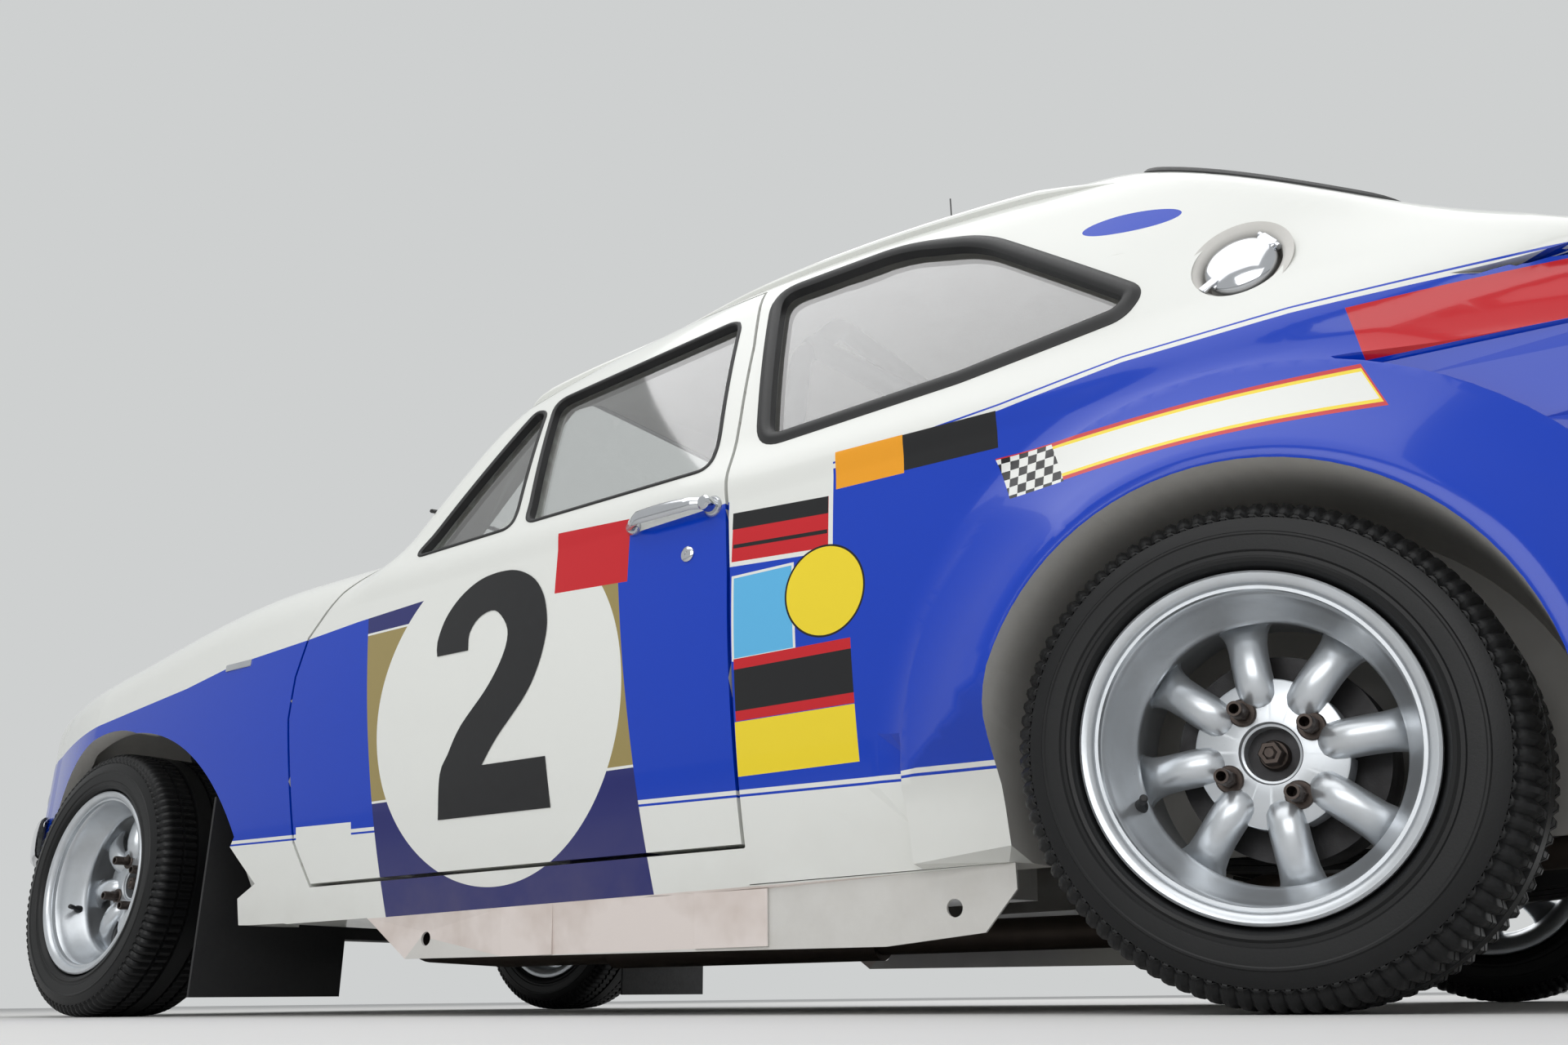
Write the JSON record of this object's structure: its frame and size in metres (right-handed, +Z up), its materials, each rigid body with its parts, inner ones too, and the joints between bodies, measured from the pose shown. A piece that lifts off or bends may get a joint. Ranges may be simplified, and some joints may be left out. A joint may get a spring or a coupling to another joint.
{
  "type": "rally car",
  "caption": "Two-door rally saloon with blue and white livery, race number roundel, spoked alloy wheels, flared arches, doors, lids and steering that move.",
  "frame": {"origin": "centre of the bounding box in plan, on the ground under the tyres", "axes": "+X to the car's left, +Y to its tail, +Z up"},
  "size_m": [1.692, 3.9618, 1.674],
  "materials": {
    "body_paint": "gloss",
    "underbody": "satin",
    "window_glass": "clear",
    "lamp_glass": "clear",
    "red_lens": "gloss",
    "chrome": "polished",
    "grille_black": "satin",
    "black_steel": "satin",
    "engine_iron": "rough",
    "radiator_black": "matt",
    "pipe_steel": "dull",
    "brake_iron": "machined",
    "wheel_alloy": "painted silver",
    "tyre": "satin",
    "seat_cloth": "woven",
    "black_plastic": "matt",
    "flap_rubber": "matt"
  },
  "bodies": {
    "shell": {"floor_pan": "underbody", "boot_floor": "underbody", "bulkhead": "body_paint", "roof_and_pillars": "body_paint", "rear_quarters": "body_paint", "tail_panel": "body_paint", "front_wings": "body_paint", "front_panel": "body_paint", "scuttle": "body_paint", "inner_arches": "underbody", "fixed_glass": "window_glass", "grille": "grille_black", "headlamps": "lamp_glass", "rear_lamps": "red_lens", "bumpers": "chrome", "engine_block": "engine_iron", "driveline": "engine_iron", "radiator": "radiator_black", "exhaust": "pipe_steel", "front_suspension": "black_steel", "steering_gear": "black_steel", "rear_axle": "black_steel", "roll_cage": "black_steel", "seats": "seat_cloth", "dashboard": "black_plastic", "mud_flaps": "flap_rubber", "fuel_filler": "body_paint", "roof_aerial": "black_steel"},
    "door_left": {"door_left": "body_paint", "door_glass_left": "window_glass", "door_handle_left": "chrome"},
    "knuckle_left": {"knuckle_left": "black_steel"},
    "wheel_front_left": {"tyre_front_left": "tyre", "rim_front_left": "wheel_alloy", "brake_front_left": "brake_iron"},
    "wheel_rear_left": {"tyre_rear_left": "tyre", "rim_rear_left": "wheel_alloy", "brake_rear_left": "brake_iron"},
    "door_right": {"door_right": "body_paint", "door_glass_right": "window_glass", "door_handle_right": "chrome"},
    "knuckle_right": {"knuckle_right": "black_steel"},
    "wheel_front_right": {"tyre_front_right": "tyre", "rim_front_right": "wheel_alloy", "brake_front_right": "brake_iron"},
    "wheel_rear_right": {"tyre_rear_right": "tyre", "rim_rear_right": "wheel_alloy", "brake_rear_right": "brake_iron"},
    "bonnet": {"bonnet": "body_paint"},
    "boot_lid": {"boot_lid": "body_paint"},
    "steering_wheel": {"steering_wheel": "black_plastic"},
    "fuel_cap": {"fuel_cap": "chrome"}
  },
  "joints": [
    {"name": "door_left_hinge", "type": "hinge", "parent": "shell", "child": "door_left", "pos_m": [0.792, -0.635, 0.42], "axis": [0, 0, -1], "range_deg": [0, 65]},
    {"name": "door_right_hinge", "type": "hinge", "parent": "shell", "child": "door_right", "pos_m": [-0.792, -0.635, 0.42], "axis": [0, 0, 1], "range_deg": [0, 65]},
    {"name": "bonnet_hinge", "type": "hinge", "parent": "shell", "child": "bonnet", "pos_m": [0, -0.69, 0.85], "axis": [-1, 0, 0], "range_deg": [0, 60]},
    {"name": "boot_lid_hinge", "type": "hinge", "parent": "shell", "child": "boot_lid", "pos_m": [0, 1.552, 0.826], "axis": [1, 0, 0], "range_deg": [0, 60]},
    {"name": "steering_left", "type": "hinge", "parent": "shell", "child": "knuckle_left", "pos_m": [0.588, -1.29, 0.19], "axis": [-0.2111, 0, 0.9775], "range_deg": [-30, 30]},
    {"name": "steering_right", "type": "hinge", "parent": "shell", "child": "knuckle_right", "pos_m": [-0.588, -1.29, 0.19], "axis": [0.2111, 0, 0.9775], "range_deg": [-30, 30]},
    {"name": "steering_wheel_turn", "type": "hinge", "parent": "shell", "child": "steering_wheel", "pos_m": [-0.335, -0.17, 0.7], "axis": [0, 0.9029, 0.4299], "range_deg": [-460, 460]},
    {"name": "fuel_cap_hinge", "type": "hinge", "parent": "shell", "child": "fuel_cap", "pos_m": [0.70651, 1.18411, 0.90663], "axis": [-0.2157, -0.7071, 0.6734], "range_deg": [0, 95]},
    {"name": "wheel_front_left_turn", "type": "hinge", "parent": "knuckle_left", "child": "wheel_front_left", "pos_m": [0.667, -1.29, 0.266], "axis": [1, 0, 0], "continuous": true},
    {"name": "wheel_front_right_turn", "type": "hinge", "parent": "knuckle_right", "child": "wheel_front_right", "pos_m": [-0.667, -1.29, 0.266], "axis": [1, 0, 0], "continuous": true},
    {"name": "wheel_rear_left_turn", "type": "hinge", "parent": "shell", "child": "wheel_rear_left", "pos_m": [0.73, 1.11, 0.266], "axis": [1, 0, 0], "continuous": true},
    {"name": "wheel_rear_right_turn", "type": "hinge", "parent": "shell", "child": "wheel_rear_right", "pos_m": [-0.73, 1.11, 0.266], "axis": [1, 0, 0], "continuous": true}
  ],
  "couplings": [
    {"joint": "steering_right", "follows": "steering_left", "ratio": 1},
    {"joint": "steering_wheel_turn", "follows": "steering_left", "ratio": 15}
  ]
}
